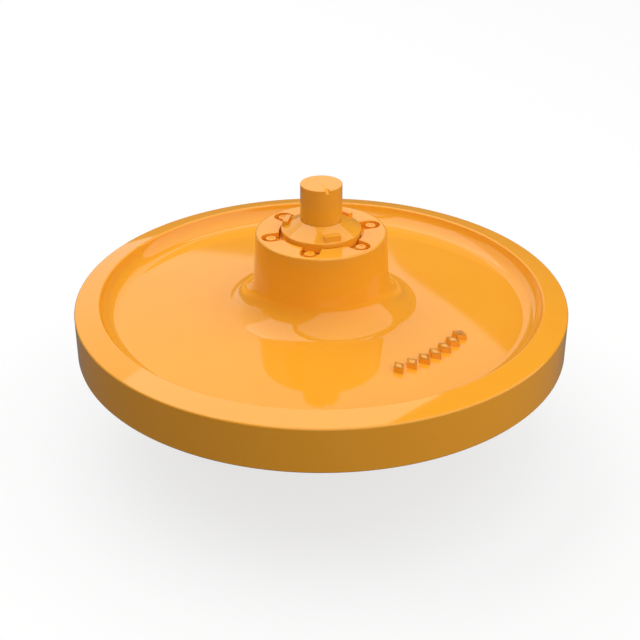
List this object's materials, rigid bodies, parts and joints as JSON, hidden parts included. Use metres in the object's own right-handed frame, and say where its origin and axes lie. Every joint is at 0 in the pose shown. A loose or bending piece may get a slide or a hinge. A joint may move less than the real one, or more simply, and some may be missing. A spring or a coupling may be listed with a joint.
{
  "type": "excavator front idler",
  "caption": "Front idler of a tracked excavator: a plain painted cast wheel with a dished web and a tall hub that turns in tapered roller bearings and face seals on a fixed shaft.",
  "frame": {"origin": "centre of the wheel, on the shaft's axis, midway between the two shaft ends", "axes": "+Z along the shaft, towards the end that the picture shows; +X to the right and +Y away from the viewer in the picture"},
  "size_m": [0.48, 0.4798, 0.28],
  "materials": {
    "paint": "gloss yellow-orange machine paint",
    "bearing_steel": "ground",
    "cage_steel": "pressed sheet",
    "seal_steel": "lapped",
    "plug_steel": "black oxide",
    "copper": "soft copper",
    "rubber": "matt"
  },
  "bodies": {
    "axle": {"shaft": "paint", "bearing_spacer": "bearing_steel", "oil_plug": "plug_steel", "oil_plug_washer": "copper", "upper_bearing_cone": "bearing_steel", "upper_fixed_seal_ring": "seal_steel", "upper_fixed_toric": "rubber", "upper_end_collar": "paint", "upper_collar_o_ring": "rubber", "upper_circlip": "bearing_steel", "lower_bearing_cone": "bearing_steel", "lower_fixed_seal_ring": "seal_steel", "lower_fixed_toric": "rubber", "lower_end_collar": "paint", "lower_collar_o_ring": "rubber", "lower_circlip": "bearing_steel"},
    "wheel": {"idler_wheel": "paint", "upper_bearing_cup": "bearing_steel", "upper_seal_retainer": "paint", "upper_retainer_o_ring": "rubber", "upper_retainer_screws": "paint", "upper_turning_seal_ring": "seal_steel", "upper_turning_toric": "rubber", "lower_bearing_cup": "bearing_steel", "lower_seal_retainer": "paint", "lower_retainer_o_ring": "rubber", "lower_retainer_screws": "paint", "lower_turning_seal_ring": "seal_steel", "lower_turning_toric": "rubber"},
    "upper_roller_set": {"upper_bearing_rollers": "bearing_steel", "upper_bearing_cage": "cage_steel"},
    "lower_roller_set": {"lower_bearing_rollers": "bearing_steel", "lower_bearing_cage": "cage_steel"}
  },
  "joints": [
    {"name": "wheel_spin", "type": "hinge", "parent": "axle", "child": "wheel", "pos_m": [0, 0, 0], "axis": [0, 0, 1], "continuous": true},
    {"name": "upper_roller_set_spin", "type": "hinge", "parent": "axle", "child": "upper_roller_set", "pos_m": [0, 0, 0], "axis": [0, 0, 1], "continuous": true},
    {"name": "lower_roller_set_spin", "type": "hinge", "parent": "axle", "child": "lower_roller_set", "pos_m": [0, 0, 0], "axis": [0, 0, 1], "continuous": true}
  ],
  "couplings": [
    {"joint": "upper_roller_set_spin", "follows": "wheel_spin", "ratio": 0.5821},
    {"joint": "lower_roller_set_spin", "follows": "wheel_spin", "ratio": 0.5821}
  ]
}
